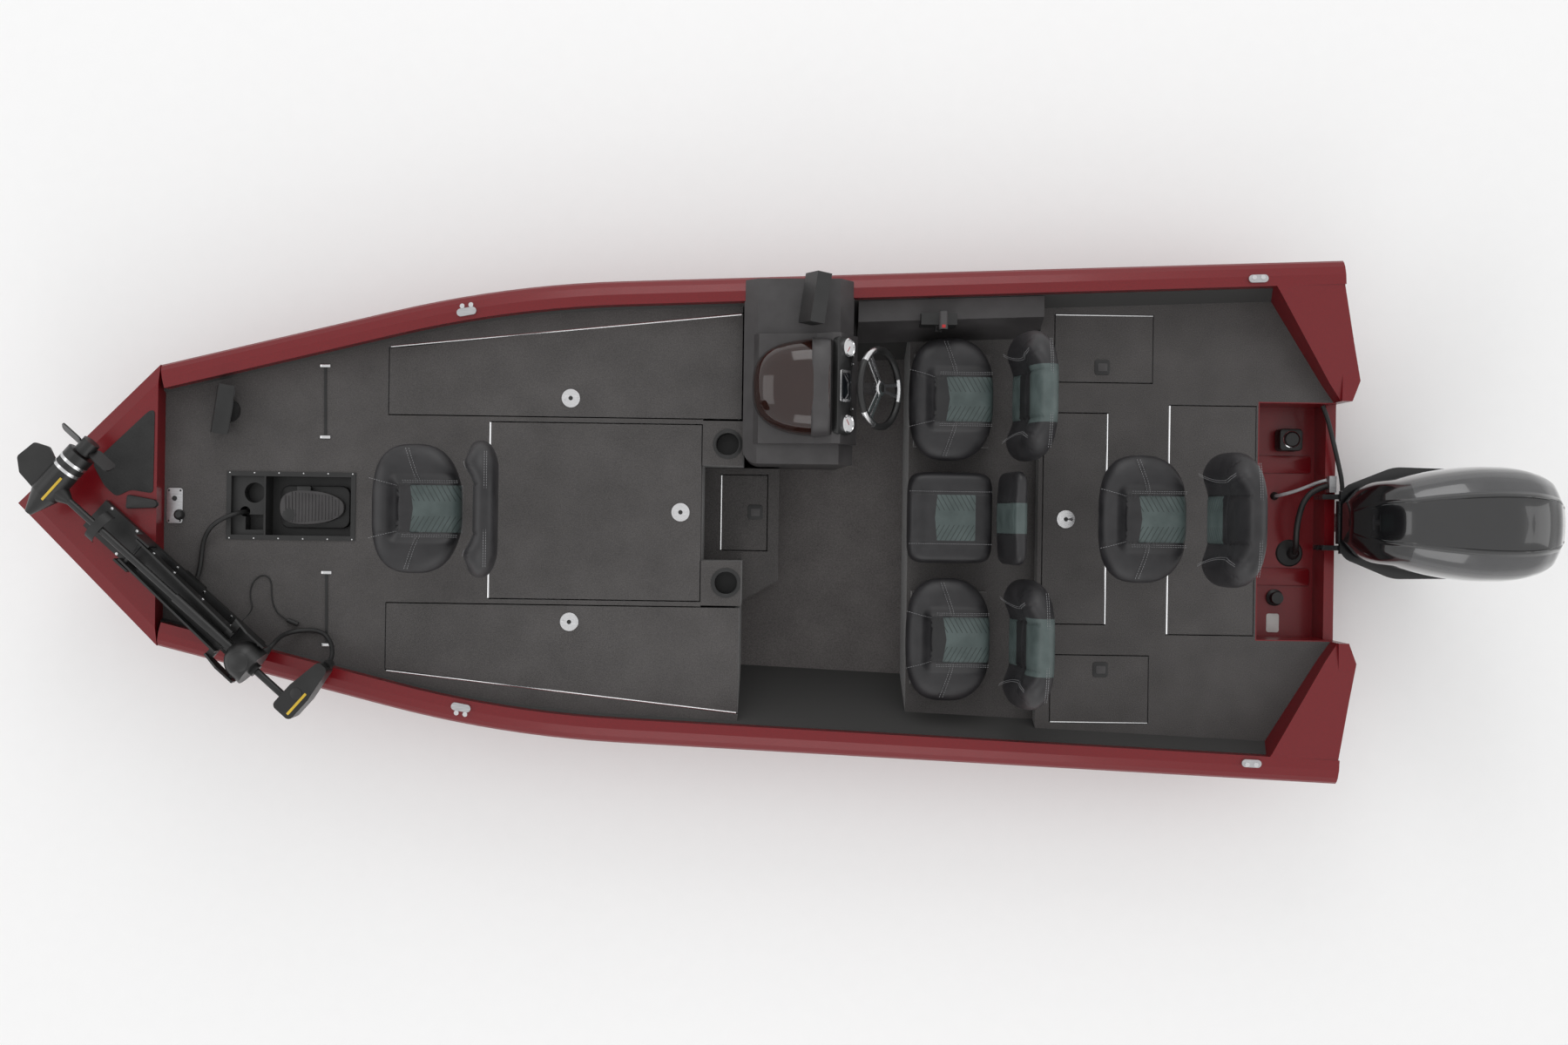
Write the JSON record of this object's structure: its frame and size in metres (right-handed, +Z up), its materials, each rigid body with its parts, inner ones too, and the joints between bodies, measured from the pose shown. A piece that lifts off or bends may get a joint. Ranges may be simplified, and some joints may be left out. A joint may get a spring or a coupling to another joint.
{
  "type": "bass fishing boat",
  "caption": "Aluminium bass fishing boat: mod-V hull, carpeted decks with lockers, helm console, folding seats, tilting outboard and a bow-mounted electric motor.",
  "frame": {"origin": "on the centreline, half way along the hull, at the calm waterline", "axes": "+X aft, +Y to starboard, +Z up"},
  "size_m": [5.897, 2.04, 1.8016],
  "materials": {
    "hull_red": "metal-flake gloss",
    "hull_alloy": "bare welded sheet",
    "carpet": "marine cut-pile carpet",
    "seat_vinyl": "grained marine vinyl",
    "black_plastic": "grained moulding",
    "grey_plastic": "fine textured moulding",
    "tinted_screen": "smoke tint",
    "bin_alloy": "mill finish",
    "engine_black": "deep gloss",
    "engine_leg_black": "gloss",
    "steel": "satin",
    "motor_black": "satin",
    "prop_black": "satin",
    "cast_iron": "as cast",
    "cord_black": "matt",
    "cord_grey": "matt"
  },
  "bodies": {
    "hull": {"hull_bottom": "hull_alloy", "hull_sides": "hull_red", "transom": "hull_red", "bow_plate": "hull_red", "gunwales": "hull_red", "stern_caps": "hull_red", "cockpit_floor": "carpet", "bow_deck": "carpet", "aft_deck": "carpet", "forward_bulkhead": "carpet", "cup_holder_blocks": "carpet", "step_box": "carpet", "seat_box": "carpet", "splash_well": "hull_red", "storage_bins": "bin_alloy", "pedal_tray": "black_plastic", "foot_pedal": "black_plastic", "console_body": "grey_plastic", "console_side_panel": "grey_plastic", "windscreen": "tinted_screen", "throttle": "black_plastic", "fish_finders": "black_plastic", "deck_fittings": "steel", "cockpit_cushions": "seat_vinyl", "engine_bracket": "engine_leg_black", "bow_motor_mount": "motor_black", "bow_motor_pedal_cable": "cord_black", "bow_motor_pull_rope": "cord_black", "engine_harness": "cord_black", "engine_fuel_hose": "cord_grey", "engine_steering_cable": "cord_black"},
    "bow_seat": {"bow_seat_cushion": "seat_vinyl", "bow_seat_post": "steel"},
    "aft_seat": {"aft_seat_cushion": "seat_vinyl", "aft_seat_post": "steel"},
    "bow_seat_backrest": {"bow_seat_back": "seat_vinyl"},
    "aft_seat_backrest": {"aft_seat_back": "seat_vinyl"},
    "driver_backrest": {"driver_seat_back": "seat_vinyl"},
    "passenger_backrest": {"passenger_seat_back": "seat_vinyl"},
    "centre_backrest": {"centre_seat_back": "seat_vinyl"},
    "wheel": {"steering_wheel": "black_plastic"},
    "engine_tilting": {"engine_swivel_bracket": "engine_leg_black"},
    "engine": {"engine_cowl": "engine_black", "engine_lower_cowl": "engine_black", "engine_powerhead": "cast_iron", "engine_leg": "engine_leg_black"},
    "propeller": {"engine_propeller": "engine_leg_black"},
    "motor_arm": {"bow_motor_arm": "motor_black"},
    "motor_collar": {"bow_motor_collar": "motor_black", "bow_motor_head_cable": "cord_black"},
    "motor": {"bow_motor_shaft": "motor_black"},
    "motor_propeller": {"bow_motor_propeller": "prop_black"},
    "rod_locker_lid_starboard": {"rod_locker_lid_starboard": "carpet"},
    "rod_locker_lid_port": {"rod_locker_lid_port": "carpet"},
    "centre_storage_lid": {"centre_storage_lid": "carpet"},
    "step_cooler_lid": {"step_cooler_lid": "carpet"},
    "aft_lid_starboard": {"aft_lid_starboard": "carpet"},
    "aft_lid_port": {"aft_lid_port": "carpet"},
    "livewell_lid": {"livewell_lid": "carpet"},
    "battery_lid": {"battery_lid": "carpet"}
  },
  "joints": [
    {"name": "rod_locker_lid_starboard_hinge", "type": "hinge", "parent": "hull", "child": "rod_locker_lid_starboard", "pos_m": [-1.176, 0.62945, 0.48], "axis": [-0.9938, -0.1113, 0], "range_deg": [0, 88]},
    {"name": "rod_locker_lid_port_hinge", "type": "hinge", "parent": "hull", "child": "rod_locker_lid_port", "pos_m": [-1.176, -0.62945, 0.48], "axis": [0.9938, -0.1113, 0], "range_deg": [0, 88]},
    {"name": "centre_storage_lid_hinge", "type": "hinge", "parent": "hull", "child": "centre_storage_lid", "pos_m": [-0.774, 0, 0.48], "axis": [0, -1, 0], "range_deg": [0, 48]},
    {"name": "step_cooler_lid_hinge", "type": "hinge", "parent": "hull", "child": "step_cooler_lid", "pos_m": [0.126, 0.005, 0.24], "axis": [0, -1, 0], "range_deg": [0, 85]},
    {"name": "aft_lid_starboard_hinge", "type": "hinge", "parent": "hull", "child": "aft_lid_starboard", "pos_m": [1.45, 0.808, 0.4], "axis": [-1, 0, 0], "range_deg": [0, 88]},
    {"name": "aft_lid_port_hinge", "type": "hinge", "parent": "hull", "child": "aft_lid_port", "pos_m": [1.45, -0.808, 0.4], "axis": [1, 0, 0], "range_deg": [0, 88]},
    {"name": "livewell_lid_hinge", "type": "hinge", "parent": "hull", "child": "livewell_lid", "pos_m": [1.658, 0, 0.4], "axis": [0, 1, 0], "range_deg": [0, 50]},
    {"name": "battery_lid_hinge", "type": "hinge", "parent": "hull", "child": "battery_lid", "pos_m": [1.91, 0, 0.4], "axis": [0, -1, 0], "range_deg": [0, 42]},
    {"name": "bow_seat_swivel", "type": "hinge", "parent": "hull", "child": "bow_seat", "pos_m": [-0.973, 0, 0.725], "axis": [0, 0, 1], "continuous": true},
    {"name": "aft_seat_swivel", "type": "hinge", "parent": "hull", "child": "aft_seat", "pos_m": [1.76, 0, 0.645], "axis": [0, 0, 1], "continuous": true},
    {"name": "bow_seat_back_fold", "type": "hinge", "parent": "bow_seat", "child": "bow_seat_backrest", "pos_m": [-0.752, 0, 0.913], "axis": [0, -1, 0], "range_deg": [0, 100]},
    {"name": "aft_seat_back_fold", "type": "hinge", "parent": "aft_seat", "child": "aft_seat_backrest", "pos_m": [1.981, 0, 0.833], "axis": [0, -1, 0], "range_deg": [0, 100]},
    {"name": "driver_seat_back_fold", "type": "hinge", "parent": "hull", "child": "driver_backrest", "pos_m": [1.275, 0.463, 0.578], "axis": [0, -1, 0], "range_deg": [0, 100]},
    {"name": "passenger_seat_back_fold", "type": "hinge", "parent": "hull", "child": "passenger_backrest", "pos_m": [1.275, -0.484, 0.578], "axis": [0, -1, 0], "range_deg": [0, 100]},
    {"name": "centre_seat_back_fold", "type": "hinge", "parent": "hull", "child": "centre_backrest", "pos_m": [1.235, -0.004, 0.555], "axis": [0, -1, 0], "range_deg": [0, 100]},
    {"name": "wheel_turn", "type": "hinge", "parent": "hull", "child": "wheel", "pos_m": [0.741, 0.488, 0.62], "axis": [0.8387, 0, 0.5446], "range_deg": [-630, 630]},
    {"name": "engine_tilt", "type": "hinge", "parent": "hull", "child": "engine_tilting", "pos_m": [2.61, 0, 0.368], "axis": [0, -1, 0], "range_deg": [0, 62]},
    {"name": "engine_steer", "type": "hinge", "parent": "engine_tilting", "child": "engine", "pos_m": [2.692, 0, 0.368], "axis": [0, 0, 1], "range_deg": [-30, 30]},
    {"name": "propeller_spin", "type": "hinge", "parent": "engine", "child": "propeller", "pos_m": [2.951, 0, -0.41], "axis": [1, 0, 0], "continuous": true},
    {"name": "motor_deploy", "type": "hinge", "parent": "hull", "child": "motor_arm", "pos_m": [-2.109, -0.186, 0.64], "axis": [-0.6613, -0.7501, 0], "range_deg": [0, 144.3]},
    {"name": "motor_collar_turn", "type": "hinge", "parent": "motor_arm", "child": "motor_collar", "pos_m": [-1.65593, -0.58543, 0.7], "axis": [-0.6613, -0.7501, 0], "range_deg": [-54.8, 0]},
    {"name": "motor_depth", "type": "slide", "parent": "motor_collar", "child": "motor", "axis": [-0.7501, 0.6613, 0], "range_m": [0, 0.12]},
    {"name": "motor_propeller_spin", "type": "hinge", "parent": "motor", "child": "motor_propeller", "pos_m": [-2.39554, 0.06662, 0.7], "axis": [0.6613, 0.7501, 0], "continuous": true}
  ],
  "couplings": [
    {"joint": "wheel_turn", "follows": "engine_steer", "ratio": 21},
    {"joint": "motor_collar_turn", "follows": "motor_deploy", "ratio": -0.3763}
  ]
}
